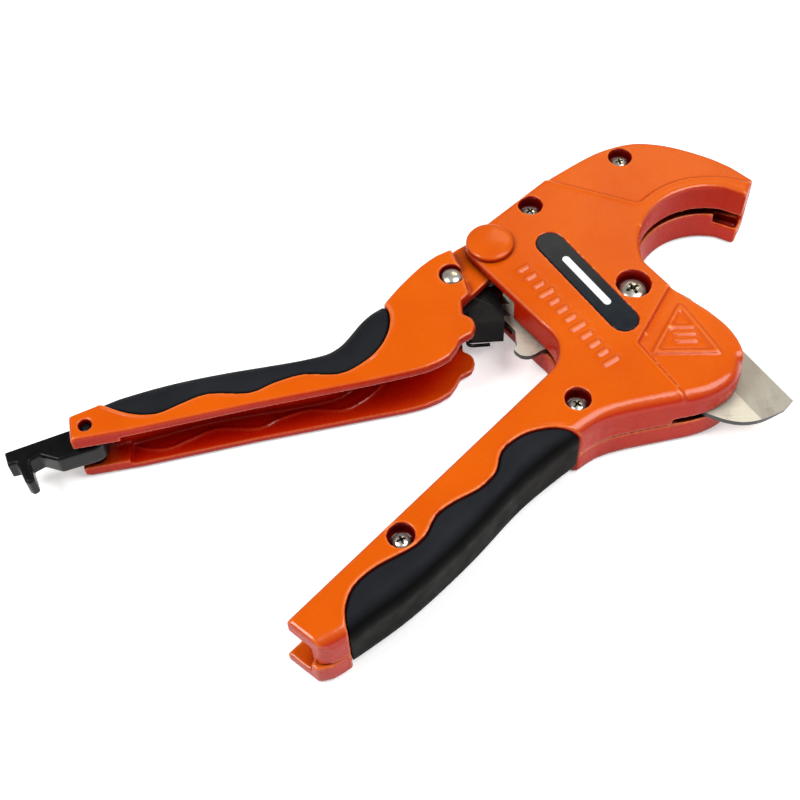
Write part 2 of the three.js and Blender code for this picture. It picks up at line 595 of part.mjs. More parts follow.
const pawlSpring = () => coil(PAWL_PIVOT, 3.3, 0.38, PAWL_TOP + 0.8, 2, 0.8, 300, 2.5);
const handleReturnSpring = () => coil(HANDLE_PIVOT, 4.7, 0.6, MID - 4, 5.5, 1.4, 20, 3);

// ---------------------------------------------------------------- latch

const LATCH_BOTTOM = 9;
const LATCH_TOP = 16.6;

function latch() {
  const arm = [
    ...arc(LATCH_PIVOT, 4.6, -70, 100, 10),
    [-176.9, -37.4],
    [-195.6, -44],
    [-194, -48.6],
    [-191.4, -48],
    ...smooth([[-188.1, -54.6], [-186.6, -55.2], [-185.2, -54.1]]),
    [-187.6, -47.6],
    [-184.5, -45.8],
    [-178.9, -47.9],
  ];
  return prism(arm, LATCH_BOTTOM, LATCH_TOP, 0.5, 1)
    .subtract(rod(LATCH_PIVOT, LATCH_PIN_RADIUS + GAP, 0, BODY_HEIGHT, 20));
}

// ---------------------------------------------------------------- assembly

const tool = new THREE.Group();

function place(name, body, material) {
  const { vertProperties, triVerts } = body.getMesh();
  const geometry = new THREE.BufferGeometry();
  geometry.setAttribute('position', new THREE.BufferAttribute(vertProperties, 3));
  geometry.setIndex(new THREE.BufferAttribute(triVerts, 1));
  geometry.computeVertexNormals();
  const mesh = new THREE.Mesh(geometry, material);
  mesh.name = name;
  tool.add(mesh);
}

place('upper_body_shell', upperBodyShell(), paint);
place('lower_body_shell', lowerBodyShell(), paint);
place('badge_plate', badgePlate(), badgeFilm);
place('fixed_handle_grip', wrappedGrip(fixedGripRegions), rubber);
BODY_SCREWS.forEach((at, i) => place(`body_screw_${i + 1}`, bodyScrew(at), nickel));
place('blade_pivot_screw', bladePivotScrew(), nickel);
place('blade_pivot_nut', bladePivotNut(), nickel);
place('blade_pivot_sleeve', bladePivotSleeve(), steel);
place('blade', blade(), steel);
place('blade_return_spring', bladeReturnSpring(), springSteel);
place('handle_pivot_rivet', handlePivotRivet(), paint);
place('handle_return_spring', handleReturnSpring(), springSteel);
place('movable_handle', movableHandle(), paint);
place('movable_handle_grip', wrappedGrip(movingGripRegions), rubber);
place('pawl_rivet', pawlRivet(), nickel);
place('pawl', pawl(), steel);
place('pawl_bracket', pawlBracket(), blackSteel);
place('pawl_spring', pawlSpring(), springSteel);
place('latch', latch(), blackPlastic);
place('latch_pin', latchPin(), blackSteel);

const box = new THREE.Box3().setFromObject(tool);
const middle = box.getCenter(new THREE.Vector3());
tool.position.set(-middle.x, -middle.y, -box.min.z);

export default tool;
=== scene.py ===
"""Looks of a ratchet pipe cutter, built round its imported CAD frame. Metres, +Z up.

Plan places are in millimetres from the blade pivot, as in the CAD source, and place() turns them into metres.
"""

import json
import math

import bmesh
import bpy
import numpy as np
from mathutils import Matrix, Vector

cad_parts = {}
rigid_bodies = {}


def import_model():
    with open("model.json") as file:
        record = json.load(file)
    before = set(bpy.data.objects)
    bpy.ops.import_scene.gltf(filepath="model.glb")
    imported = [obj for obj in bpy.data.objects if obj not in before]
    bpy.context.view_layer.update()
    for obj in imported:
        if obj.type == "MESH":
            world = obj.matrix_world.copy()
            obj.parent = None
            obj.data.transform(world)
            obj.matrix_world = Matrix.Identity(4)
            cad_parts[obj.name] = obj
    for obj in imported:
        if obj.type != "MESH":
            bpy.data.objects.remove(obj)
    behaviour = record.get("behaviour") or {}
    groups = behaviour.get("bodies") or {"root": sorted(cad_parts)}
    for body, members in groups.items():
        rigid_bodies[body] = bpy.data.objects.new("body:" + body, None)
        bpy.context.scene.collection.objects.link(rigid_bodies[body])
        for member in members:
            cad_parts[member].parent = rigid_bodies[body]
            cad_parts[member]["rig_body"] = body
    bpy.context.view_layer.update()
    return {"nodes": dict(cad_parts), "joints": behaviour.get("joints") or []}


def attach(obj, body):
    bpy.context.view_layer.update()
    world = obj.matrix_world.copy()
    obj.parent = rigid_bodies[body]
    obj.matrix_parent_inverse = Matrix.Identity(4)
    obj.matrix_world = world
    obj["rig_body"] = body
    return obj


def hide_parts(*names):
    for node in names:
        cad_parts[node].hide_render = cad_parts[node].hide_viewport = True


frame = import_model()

MM = 0.001
PIVOTS = {joint["name"]: Vector(joint["pos_m"]) for joint in frame["joints"]}
ORIGIN = Vector((PIVOTS["blade_pivot"].x, PIVOTS["blade_pivot"].y, 0))

# ---------------------------------------------------------------- sizes, in millimetres

BODY_HEIGHT = 23.6
FACE_STEP = 0.8  # the hook face and the lobe face lie this much below the rest of the top
EDGE_ROUND = 1.3  # at the top edges of the castings
OUTER_ROLL = 4.6  # radius of the outer long side of the upper shell
JAW_CENTRE = (29.3, 13.7)
JAW_RADIUS = 25
JAW_SWEEP = (190, 74)  # degrees
JAW_TIP_INNER = (42.6, 34.1)
JAW_TIP_OUTER = (46.4, 41.3)
SLOT_RADIUS = 59  # of the blade slot, round the blade pivot
SLOT_FLOOR = 9.4  # the floors of the slot and of the scoop at the jaw tip lie above these heights
SCOOP_FLOOR = 6
TRENCH_DEPTH = 3  # of the hollow behind the edge of the lower shell
JAW_DRAFT = 2  # how far the foot of the lower jaw wall stands into the jaw
HANDLE_PIVOT = (-43.7, 19.3)
PAWL_PIVOT = (-56.9, 8.5)
LATCH_PIVOT = (-169.9, -40.5)
BODY_SCREWS = {
    "body_screw_1": (3.8, 55.3),
    "body_screw_2": (-28.8, 35.4),
    "body_screw_3": (-23, -42.1),
    "body_screw_4": (-77.9, -83.9),
}
SCREW_SEAT = BODY_HEIGHT - 4.9
GRIP_PROUD = 1.8  # the movable grip stands this much outside its casting
GRIP_CROWN = 0.75  # and both grips this much above theirs
GRIP_ROLL = 6.5

FIXED_WAVE = [(-93.2, -112.6), (-93.9, -106), (-91.5, -99), (-85, -93.4), (-76, -88.9), (-71, -85),
              (-67.4, -78.6), (-62, -74.6), (-54.5, -70.8), (-49.3, -65.6), (-47, -58.8), (-41, -54),
              (-34.6, -52.2), (-29, -52.3), (-23.2, -53.9)]
FIXED_OUTER = [(-93.2, -112.6), (-76, -100.8), (-58, -84.9), (-41, -67.7), (-23.2, -53.9)]
LOBE_OUTER = [(-12.8, -48.4), (5.4, -45.2), (16.8, -43), (25.4, -38)]
MOVING_WAVE = [(-166, -33), (-156.8, -37.1), (-148.7, -37.8), (-142, -35), (-133.4, -31.8),
               (-121, -32.4), (-113.6, -29.3), (-104.6, -26.8), (-94, -27.5), (-86.6, -23.9),
               (-81.2, -18.5), (-78.2, -12), (-77.8, -5.9), (-79.3, -2)]
MOVING_OUTER = [(-166, -33), (-148, -27.8), (-130, -24.4), (-103.2, -20.8), (-93.3, -17.1),
                (-85.1, -7.2), (-79.3, -2)]

# ---------------------------------------------------------------- plan geometry


def polar(radius, degrees, centre=(0, 0)):
    angle = math.radians(degrees)
    return (centre[0] + radius * math.cos(angle), centre[1] + radius * math.sin(angle))


def arc(centre, radius, start, end, count):
    return [polar(radius, start + (end - start) * i / count, centre) for i in range(count + 1)]


def smooth(points, per_span=8):
    """Catmull-Rom curve through the points."""
    p = np.array([points[0], *points, points[-1]], float)
    out = []
    for i in range(1, len(p) - 2):
        for k in range(per_span):
            t = k / per_span
            a, b, c, d = p[i - 1], p[i], p[i + 1], p[i + 2]
            out.append(0.5 * (2 * b + (c - a) * t + (2 * a - 5 * b + 4 * c - d) * t**2
                              + (3 * b - a - 3 * c + d) * t**3))
    out.append(p[-1])
    return [tuple(q) for q in out]


def beside(points, distance):
    """The path moved sideways, to its left for a positive distance."""
    p = np.asarray(points, float)
    along = np.gradient(p, axis=0)
    along /= np.hypot(*along.T)[:, None]
    return [tuple(q) for q in p + distance * np.column_stack((-along[:, 1], along[:, 0]))]


def place(x, y, z=0.0):
    """Plan millimetres to metres in the frame."""
    return Vector((x * MM + ORIGIN.x, y * MM + ORIGIN.y, z * MM))


def body_outline(reach_x=0.0, reach_y=0.0):
    """Outline of a body shell. The reach moves the far end of its handle."""
    return [
        (-110.3 + reach_x, -107.8 + reach_y), (-101.9 + reach_x, -115.4 + reach_y),
        *smooth([(-98.5 + reach_x / 2, -115.4 + reach_y / 2), *FIXED_OUTER, *LOBE_OUTER,
                 (29.3, -28.8), (27.2, -19.4), (21.6, -11.3)]),
        (11.5, -1.4), (5.2, 8.3),
        *arc(JAW_CENTRE, JAW_RADIUS, *JAW_SWEEP, 48),
        JAW_TIP_INNER, JAW_TIP_OUTER,
        *smooth([(40.3, 48), (33, 53.4), (22, 59), (12.6, 61.5), (5, 61.2), (-4, 58.3), (-12.4, 53.5)]),
        (-22.6, 46.9), (-45.8, 27.3),
        *arc(HANDLE_PIVOT, 7.8, 112, 216, 20),
        *smooth([(-31, -12.9), (-28, -17), (-26.6, -21), (-26.8, -25.4), (-28.4, -29.2), (-30.8, -32)]),
    ]


UPPER_PLATE_EDGE = [(-174, -45.9), (-156.8, -43.5), (-120.8, -36.9), (-84.8, -31.1)]
LOWER_PLATE_EDGE = [(-173.4, -44.5), (-156.8, -42.4), (-120.8, -36.1), (-84.8, -30.6)]


def moving_outline(plate_edge):
    """Outline of one plate of the movable handle. The plates differ on the side of the fixed handle."""
    return [
        (-175.3, -36.9), *plate_edge,
        *smooth([(-74, -29), (-66.8, -27.3), (-59.6, -23.6), (-56, -17.8)]),
        (-54.4, -16.8),
        *smooth([(-52.2, -15.6), (-50.9, -12.6), (-51.7, -9.4), (-54.4, -7.6)]),
        (-54.3, -2.4), (-51.6, 0.4),
        *smooth([(-52.8, 7), (-53.6, 11), (-56.2, 19.2)]),
        *smooth([(-61.4, 16.8), (-66.8, 12.6), (-74, 4.9), (-79.3, -2)]),
        *reversed(smooth(MOVING_OUTER)[1:-1]),
        (-166, -33),
    ]


def path_distance(xy, path):
    """Distance from each point to an open path."""
    best = np.full(len(xy), np.inf)
    path = np.asarray(path, float)
    for a, b in zip(path[:-1], path[1:]):
        ab = b - a
        length2 = float(ab @ ab) or 1.0
        t = np.clip(((xy - a) @ ab) / length2, 0, 1)
        best = np.minimum(best, np.hypot(*(xy - a - t[:, None] * ab).T))
    return best


def sideways(xy, path):
    """Unit vector to the left of the nearest stretch of an open path, at each point."""
    best = np.full(len(xy), np.inf)
    left = np.zeros_like(xy)
    path = np.asarray(path, float)
    for a, b in zip(path[:-1], path[1:]):
        ab = b - a
        t = np.clip(((xy - a) @ ab) / float(ab @ ab), 0, 1)
        distance = np.hypot(*(xy - a - t[:, None] * ab).T)
        nearer = distance < best
        best[nearer] = distance[nearer]
        left[nearer] = np.array([-ab[1], ab[0]]) / np.hypot(*ab)
    return left


def inside_distance(xy, outline):
    """Distance from each point to a closed outline, positive inside it."""
    ring = np.asarray([*outline, outline[0]], float)
    inside = np.zeros(len(xy), bool)
    for (ax, ay), (bx, by) in zip(ring[:-1], ring[1:]):
        if ay == by:
            continue
        spans = (ay > xy[:, 1]) != (by > xy[:, 1])
        inside ^= spans & (xy[:, 0] < (bx - ax) * (xy[:, 1] - ay) / (by - ay) + ax)
    distance = path_distance(xy, ring)
    return np.where(inside, distance, -distance)


def step(value, low, high):
    """Smooth rise from 0 at low to 1 at high."""
    t = np.clip((value - low) / (high - low), 0, 1)
    return t * t * (3 - 2 * t)


def rounded_limit(distance, radius):
    """How far a rounded edge lies below the face, at a distance inside the outline."""
    reach = np.clip(distance, 0, radius)
    return radius - np.sqrt(np.maximum(radius**2 - (radius - reach) ** 2, 0))


# ---------------------------------------------------------------- mesh tools

collection = bpy.context.scene.collection


def new_object(name, data):
    obj = bpy.data.objects.new(name, data)
    collection.objects.link(obj)
    return obj


def applied(obj, name):
    """A new object holding obj's mesh with its modifiers applied; obj is removed."""
    depsgraph = bpy.context.evaluated_depsgraph_get()
    mesh = bpy.data.meshes.new_from_object(obj.evaluated_get(depsgraph))
    mesh.name = name
    old = obj.data
    bpy.data.objects.remove(obj)
    bpy.data.meshes.remove(old)
    return new_object(name, mesh)


def welded_copy(node, name):
    mesh = frame["nodes"][node].data.copy()
    mesh.materials.clear()
    bm = bmesh.new()
    bm.from_mesh(mesh)
    bmesh.ops.remove_doubles(bm, verts=bm.verts, dist=1e-6)
    bm.to_mesh(mesh)
    bm.free()
    return new_object(name, mesh)


def voxels(obj, size):
    modifier = obj.modifiers.new("remesh", "REMESH")
    modifier.mode = "VOXEL"
    modifier.voxel_size = size * MM
    return applied(obj, obj.name)


def relax(obj, factor, rounds):
    modifier = obj.modifiers.new("smooth", "SMOOTH")
    modifier.factor = factor
    modifier.iterations = rounds


def thin_out(obj, ratio):
    modifier = obj.modifiers.new("decimate", "DECIMATE")
    modifier.ratio = ratio
    modifier.use_collapse_triangulate = True


def shade(obj):
    """Smooth shading, with normals that follow the large faces."""
    for polygon in obj.data.polygons:
        polygon.use_smooth = True
    modifier = obj.modifiers.new("weighted_normal", "WEIGHTED_NORMAL")
    modifier.weight = 50
    modifier.keep_sharp = False


def coordinates(obj):
    """Vertex places as plan millimetres."""
    co = np.empty(len(obj.data.vertices) * 3)
    obj.data.vertices.foreach_get("co", co)
    return (co.reshape(-1, 3) - np.array(ORIGIN)) / MM


def move_vertices(obj, co):
    obj.data.vertices.foreach_set("co", (co * MM + np.array(ORIGIN)).ravel())
    obj.data.update()


def finish_piece(obj, node, material):
    """The piece takes the place of its CAD node."""
    obj.data.materials.clear()
    obj.data.materials.append(material)
    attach(obj, frame["nodes"][node]["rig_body"])
    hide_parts(node)
    return obj


def cast(node, name, shape, voxel, rounds, keep):
    """A casting or moulding: the CAD solid as a fine mesh, shaped by a function of its vertices.

    voxel is the size of the mesh in millimetres, rounds is how often it is relaxed, and keep is the share of
    its faces that stay.
    """
    obj = voxels(welded_copy(node, name), voxel)
    move_vertices(obj, shape(coordinates(obj)))
    obj = voxels(obj, voxel)
    relax(obj, 0.5, rounds)
    thin_out(obj, keep)
    obj = applied(obj, name)
    shade(obj)
    return obj


def edge_bevel(obj, width, segments=3, degrees=30):
    bevel = obj.modifiers.new("bevel", "BEVEL")
    bevel.width = width * MM
    bevel.segments = segments
    bevel.limit_method = "ANGLE"
    bevel.angle_limit = math.radians(degrees)
    return applied(obj, obj.name)


def crisp(node, name, width, segments=3):
    """A sheet or plate: the CAD solid with its coplanar faces joined and every sharp edge broken."""
    obj = welded_copy(node, name)
    bm = bmesh.new()
    bm.from_mesh(obj.data)
    bmesh.ops.dissolve_limit(bm, angle_limit=math.radians(0.6), verts=bm.verts, edges=bm.edges)
    bm.to_mesh(obj.data)
    bm.free()
    obj = edge_bevel(obj, width, segments, 28)
    shade(obj)
    return obj


def built(bm, name):
    """The bmesh as an object, its faces turned outwards."""
    bmesh.ops.recalc_face_normals(bm, faces=bm.faces)
    mesh = bpy.data.meshes.new(name)
    bm.to_mesh(mesh)
    bm.free()
    return new_object(name, mesh)


def lathe(name, centre, profile, sides=72):
    """A turned piece. The profile runs [radius, height] from the axis back to the axis."""
    bm = bmesh.new()
    rings = []
    for radius, height in profile:
        if radius == 0:
            rings.append([bm.verts.new(place(*centre, height))])
            continue
        rings.append([bm.verts.new(place(*polar(radius, 360 * i / sides, centre), height))
                      for i in range(sides)])
    for low, high in zip(rings[:-1], rings[1:]):
        for i in range(sides):
            k = (i + 1) % sides
            corners = [low[i % len(low)], low[k % len(low)], high[k % len(high)], high[i % len(high)]]
            unique = list(dict.fromkeys(corners))
            if len(unique) > 2:
                bm.faces.new(unique)
    return built(bm, name)


def prism(name, outline, bottom, top, taper=1.0, centre=(0, 0)):
    """An upright prism. taper scales its lower outline about the centre."""
    bm = bmesh.new()
    cx, cy = centre
    low = [bm.verts.new(place(cx + (x - cx) * taper, cy + (y - cy) * taper, bottom)) for x, y in outline]
    high = [bm.verts.new(place(x, y, top)) for x, y in outline]
    bm.faces.new(list(reversed(low)))
    bm.faces.new(high)
    for i in range(len(outline)):
        k = (i + 1) % len(outline)
        bm.faces.new([low[i], low[k], high[k], high[i]])
    return built(bm, name)


def cut(obj, cutter):
    """The object less the cutter, which is removed."""
    modifier = obj.modifiers.new("cut", "BOOLEAN")
    modifier.operation = "DIFFERENCE"
    modifier.solver = "EXACT"
    modifier.object = cutter
    obj = applied(obj, obj.name)
    bpy.data.objects.remove(cutter)
    return obj


def wire(name, points, radius):
    """A round wire along points in metres."""
    curve = bpy.data.curves.new(name, "CURVE")
    curve.dimensions = "3D"
    curve.bevel_depth = radius * MM
    curve.bevel_resolution = 4
    curve.use_fill_caps = True
    spline = curve.splines.new("POLY")
    spline.points.add(len(points) - 1)
    for target, point in zip(spline.points, points):
        target.co = (*point, 1)
    obj = new_object(name, curve)
    depsgraph = bpy.context.evaluated_depsgraph_get()
    mesh = bpy.data.meshes.new_from_object(obj.evaluated_get(depsgraph))
    bpy.data.objects.remove(obj)
    bpy.data.curves.remove(curve)
    for polygon in mesh.polygons:
        polygon.use_smooth = True
    return new_object(name, mesh)


# ---------------------------------------------------------------- materials


class Nodes:
    """Short way to build one node material."""

    def __init__(self, name):
        self.material = bpy.data.materials.new(name)
        self.material.use_nodes = True
        self.tree = self.material.node_tree
        self.shader = self.tree.nodes["Principled BSDF"]
        self.coords = self.tree.nodes.new("ShaderNodeTexCoord").outputs["Object"]

    def node(self, kind, **inputs):
        node = self.tree.nodes.new(kind)
        for key, value in inputs.items():
            self.put(node.inputs[key.replace("_", " ")], value)
        return node

    def put(self, socket, value):
        if isinstance(value, bpy.types.NodeSocket):
            self.tree.links.new(value, socket)
        else:
            socket.default_value = value

    def set(self, **inputs):
        for key, value in inputs.items():
            self.put(self.shader.inputs[key.replace("_", " ")], value)

    def noise(self, scale, detail=4.0, roughness=0.5, stretch=None):
        """Noise in the object's metres. stretch is (scale of each axis, degrees turned)."""
        vector = self.coords
        if stretch:
            mapping = self.node("ShaderNodeMapping", Vector=self.coords, Scale=stretch[0])
            mapping.inputs["Rotation"].default_value = (0, 0, math.radians(stretch[1]))
            vector = mapping.outputs["Vector"]
        node = self.node("ShaderNodeTexNoise", Vector=vector, Scale=scale, Detail=detail, Roughness=roughness)
        return node.outputs["Fac"]

    def uneven(self, scale, detail, low=0.0, high=1.0):
        """Noise spread over the range from low to high."""
        return self.remap(self.noise(scale, detail), 0.3, 0.7, low, high)

    def remap(self, value, low, high, out_low=0.0, out_high=1.0):
        node = self.node("ShaderNodeMapRange", Value=value)
        node.inputs["From Min"].default_value = low
        node.inputs["From Max"].default_value = high
        node.inputs["To Min"].default_value = out_low
        node.inputs["To Max"].default_value = out_high
        return node.outputs["Result"]

    def math(self, operation, a, b=0.0):
        node = self.tree.nodes.new("ShaderNodeMath")
        node.operation = operation
        self.put(node.inputs[0], a)
        self.put(node.inputs[1], b)
        return node.outputs[0]

    def mix(self, factor, a, b):
        node = self.tree.nodes.new("ShaderNodeMix")
        node.data_type = "RGBA"
        self.put(node.inputs[0], factor)
        self.put(node.inputs[6], a)
        self.put(node.inputs[7], b)
        return node.outputs[2]

    def blend(self, factor, a, b):
        """mix() for plain numbers."""
        node = self.tree.nodes.new("ShaderNodeMix")
        for socket, value in zip((node.inputs[0], node.inputs[2], node.inputs[3]), (factor, a, b)):
            self.put(socket, value)
        return node.outputs[0]

    def bump(self, *layers):
        """Each layer is (height value, distance in millimetres)."""
        normal = None
        for height, distance in layers:
            node = self.tree.nodes.new("ShaderNodeBump")
            node.inputs["Strength"].default_value = 1.0
            node.inputs["Distance"].default_value = distance * MM
            self.put(node.inputs["Height"], height)
            if normal:
                self.put(node.inputs["Normal"], normal)
            normal = node.outputs["Normal"]
        self.put(self.shader.inputs["Normal"], normal)

    def upward(self):
        """1 where the surface faces straight up or down, 0 where it is upright."""
        geometry = self.tree.nodes.new("ShaderNodeNewGeometry")
        split = self.node("ShaderNodeSeparateXYZ", Vector=geometry.outputs["Normal"])
        return self.math("ABSOLUTE", split.outputs["Z"])

    def edges(self, low, high):
        """1 on convex edges, where the materials paint highlights."""
        geometry = self.tree.nodes.new("ShaderNodeNewGeometry")
        return self.remap(geometry.outputs["Pointiness"], low, high)

    def hollows(self, distance, own=False):
        """Ambient occlusion, for painting shade: 1 in the open, falling to 0 deep in hollows. own counts only
        the piece itself.
        """
        node = self.node("ShaderNodeAmbientOcclusion", Distance=distance * MM)
        node.samples = 8
        node.only_local = own
        return node.outputs["AO"]


def paint_material():
    n = Nodes("orange_paint")
    face = n.mix(n.uneven(38, 3), (0.60, 0.080, 0.0003, 1), (0.67, 0.104, 0.0008, 1))
    # Painted shade: side is the paint as it looks in shade, a darker red that upright faces take instead of
    # face
    side = n.mix(n.uneven(60, 3), (0.40, 0.012, 0.0004, 1), (0.46, 0.018, 0.0006, 1))
    colour = n.mix(n.remap(n.upward(), 0.55, 0.97), side, face)
    # Painted highlight: convex edges and raised lines turn lighter orange
    colour = n.mix(n.remap(n.edges(0.51, 0.58), 0, 1, 0, 0.8), colour, (0.90, 0.26, 0.06, 1))
    # Painted shade: deep red where the handle's own plates close over its channel
    channel_shade = n.remap(n.hollows(26, own=True), 0.5, 0.94, 1, 0)
    colour = n.mix(channel_shade, colour, (0.44, 0.006, 0.0008, 1))
    # Painted shade: near black in crevices, the blade slot and the scoop
    colour = n.mix(n.remap(n.hollows(8), 0.25, 0.8), (0.07, 0.001, 0.0006, 1), colour)
    n.set(Base_Color=colour, Roughness=n.uneven(230, 3, 0.22, 0.32))
    flat = n.remap(n.upward(), 0.94, 0.995)
    n.set(Coat_Weight=n.blend(flat, n.remap(n.upward(), 0.1, 0.5, 0.02, 0.34), 0.06), Coat_Roughness=0.06)
    n.set(Specular_IOR_Level=n.blend(flat, n.remap(n.upward(), 0, 0.5, 0.07, 0.3), 0.12))
    orange_peel, casting = n.noise(900, 2), n.noise(75, 5, 0.6)
    n.bump((orange_peel, 0.03), (casting, 0.22))
    return n.material


def rivet_material():
    n = Nodes("rivet_paint")
    face = n.mix(n.uneven(90, 3), (0.60, 0.082, 0.0006, 1), (0.67, 0.104, 0.001, 1))
    # Painted shade: the upright rim of the dome takes a darker red
    colour = n.mix(n.remap(n.upward(), 0.2, 0.85), (0.40, 0.014, 0.0006, 1), face)
    n.set(Base_Color=colour, Roughness=n.uneven(300, 3, 0.3, 0.36))
    n.set(Coat_Weight=0.25, Coat_Roughness=0.08, Specular_IOR_Level=0.12)
    n.bump((n.noise(900, 2), 0.02))
    return n.material


def rubber_material():
    n = Nodes("grip_rubber")
    cloudy = n.uneven(45, 4)
    # Painted light and shade: top faces take a lighter bluish grey, upright sides a brownish near black,
    # darker still where the roll turns
    top = n.mix(cloudy, (0.011, 0.0125, 0.0155, 1), (0.0175, 0.019, 0.0235, 1))
    side = n.mix(n.remap(n.upward(), 0.1, 0.6), (0.0032, 0.0026, 0.0019, 1), (0.0016, 0.0016, 0.0016, 1))
    colour = n.mix(n.remap(n.upward(), 0.62, 0.97), side, top)
    n.set(Base_Color=colour, Roughness=n.uneven(160, 4, 0.5, 0.66))
    n.set(Specular_IOR_Level=0.05)
    grain = n.noise(2600, 2)
    n.bump((grain, 0.035), (n.noise(120, 3), 0.1))
    return n.material


BLADE_HEEL = (20, 2)
BLADE_TIP = (44.2, -39.8)
GROUND_WIDTH = 13


def steel_material():
    """Blade steel: a ground strip with lines across the cutting edge, and a paler brushed plate behind it."""
    n = Nodes("blade_steel")
    split = n.node("ShaderNodeSeparateXYZ", Vector=n.coords)
    tip = place(*BLADE_TIP)
    along = (tip - place(*BLADE_HEEL)).normalized()
    across = Vector((along.y, -along.x, 0))
    reach = n.math("ADD", n.math("MULTIPLY", split.outputs["X"], across.x),
                   n.math("MULTIPLY", split.outputs["Y"], across.y))
    inward = n.math("SUBTRACT", reach, across.dot(tip))
    ground = n.remap(inward, (GROUND_WIDTH - 0.1) * MM, (GROUND_WIDTH + 0.1) * MM, 1, 0)
    lines = n.noise(900, 3, 0.7, stretch=((1.0, 0.03, 1.0), 30))
    scratches = n.noise(1500, 2, 0.6, stretch=((0.04, 1.0, 1.0), 30))
    stains = n.remap(n.noise(120, 6, 0.65), 0.5, 0.8)
    strip = n.mix(lines, (0.31, 0.295, 0.25, 1), (0.50, 0.47, 0.40, 1))
    plate = n.mix(scratches, (0.58, 0.56, 0.46, 1), (0.76, 0.73, 0.60, 1))
    colour = n.mix(ground, plate, strip)
    colour = n.mix(stains, colour, (0.24, 0.215, 0.18, 1))
    # Painted shade: darker where the blade runs in under the body and in its hollows
    colour = n.mix(n.remap(n.hollows(5), 0.2, 0.8), (0.16, 0.125, 0.105, 1), colour)
    # The upright faces, the edges of the blade, are near black
    colour = n.mix(n.remap(n.upward(), 0.3, 0.9), (0.03, 0.03, 0.03, 1), colour)
    n.set(Base_Color=colour, Metallic=0.25, Roughness=n.remap(lines, 0.3, 0.7, 0.34, 0.5))
    n.bump((lines, 0.02), (n.noise(200, 4), 0.04))
    return n.material


def nickel_material():
    n = Nodes("nickel_plate")
    tone = n.mix(n.remap(n.noise(420, 4), 0.35, 0.65), (0.60, 0.57, 0.48, 1), (0.85, 0.83, 0.76, 1))
    # Painted shade: near black deep in the cross recesses
    colour = n.mix(n.remap(n.hollows(1.4), 0.3, 0.9), (0.05, 0.04, 0.02, 1), tone)
    n.set(Base_Color=colour, Metallic=0.85, Roughness=n.uneven(500, 3, 0.16, 0.32))
    n.bump((n.noise(700, 4), 0.05))
    return n.material


def spring_material():
    n = Nodes("spring_wire")
    colour = n.mix(n.noise(500, 3), (0.2, 0.2, 0.2, 1), (0.38, 0.38, 0.37, 1))
    n.set(Base_Color=colour, Metallic=1.0, Roughness=n.uneven(300, 2, 0.25, 0.4))
    return n.material


def enamel_material():
    n = Nodes("black_enamel")
    colour = n.mix(n.noise(90, 4), (0.002, 0.0025, 0.003, 1), (0.006, 0.007, 0.008, 1))
    # Painted highlight: convex edges turn grey
    colour = n.mix(n.edges(0.54, 0.68), colour, (0.03, 0.03, 0.03, 1))
    n.set(Base_Color=colour, Roughness=n.uneven(250, 3, 0.14, 0.28))
    n.set(Specular_IOR_Level=n.remap(n.upward(), 0.3, 0.9, 0.05, 0.3), Coat_Weight=0.03, Coat_Roughness=0.1)
    n.bump((n.noise(600, 3), 0.03))
    return n.material


def plastic_material():
    n = Nodes("latch_plastic")
    colour = n.mix(n.noise(110, 4), (0.0025, 0.0025, 0.003, 1), (0.006, 0.006, 0.0065, 1))
    # Painted highlight: convex edges turn grey
    colour = n.mix(n.edges(0.54, 0.66), colour, (0.03, 0.03, 0.03, 1))
    n.set(Base_Color=colour, Roughness=n.uneven(280, 4, 0.22, 0.38))
    n.set(Specular_IOR_Level=0.16)
    n.bump((n.noise(1500, 2), 0.03), (n.noise(130, 3), 0.12))
    return n.material


def badge_material():
    n = Nodes("badge_film")
    specks = n.remap(n.noise(2200, 2), 0.66, 0.72)
    colour = n.mix(n.noise(160, 3), (0.006, 0.009, 0.014, 1), (0.012, 0.017, 0.025, 1))
    colour = n.mix(specks, colour, (0.02, 0.025, 0.035, 1))
    n.set(Base_Color=colour, Roughness=n.uneven(300, 3, 0.12, 0.24))
    n.set(Specular_IOR_Level=0.14, Coat_Weight=0.05, Coat_Roughness=0.06)
    n.bump((n.noise(1300, 2), 0.02))
    return n.material


def white_film_material():
    n = Nodes("white_film")
    colour = n.mix(n.noise(500, 3), (0.74, 0.75, 0.76, 1), (0.88, 0.88, 0.88, 1))
    n.set(Base_Color=colour, Roughness=n.uneven(400, 2, 0.25, 0.4))
    n.bump((n.noise(1300, 2), 0.02))
    return n.material


PAINT = paint_material()
RIVET_PAINT = rivet_material()
RUBBER = rubber_material()
STEEL = steel_material()
NICKEL = nickel_material()
SPRING = spring_material()
ENAMEL = enamel_material()
PLASTIC = plastic_material()
BADGE = badge_material()
WHITE = white_film_material()

# ---------------------------------------------------------------- castings

BODY = body_outline()
LOWER_BODY = body_outline(-1.2, -1.3)
UPPER_PLATE = moving_outline(UPPER_PLATE_EDGE)
LOWER_PLATE = moving_outline(LOWER_PLATE_EDGE)
OUTER_SIDE = [(-103.8, -118.2), *smooth([(-98.5, -115.4), *FIXED_OUTER, *LOBE_OUTER, (28.8, -31)])]
HOOK_FACE = [(-24, 49.5), (-22, 46.2), (6.1, 33.7), *arc(JAW_CENTRE, JAW_RADIUS + 4.6, 136, 62, 14),
             (60, 40), (40, 75), (-20, 75)]
LOBE_FACE = [(11.4, -1.2), (-2.3, -23), (8.5, -42.8), (8.5, -55), (45, -45), (40, -5), (13, 0.4)]
SCALE_BARS = [[(-34 + 2.05 * i + end * half * 0.86, 8.5 - 3.45 * i + end * half * 0.51) for end in (-1, 1)]
              for i, half in enumerate((1.8, 1.8, 1.8, 2.6) * 3)]
TRIANGLE = [(13, -9.7), (2.4, -26.6), (21.6, -27.8), (13, -9.7)]
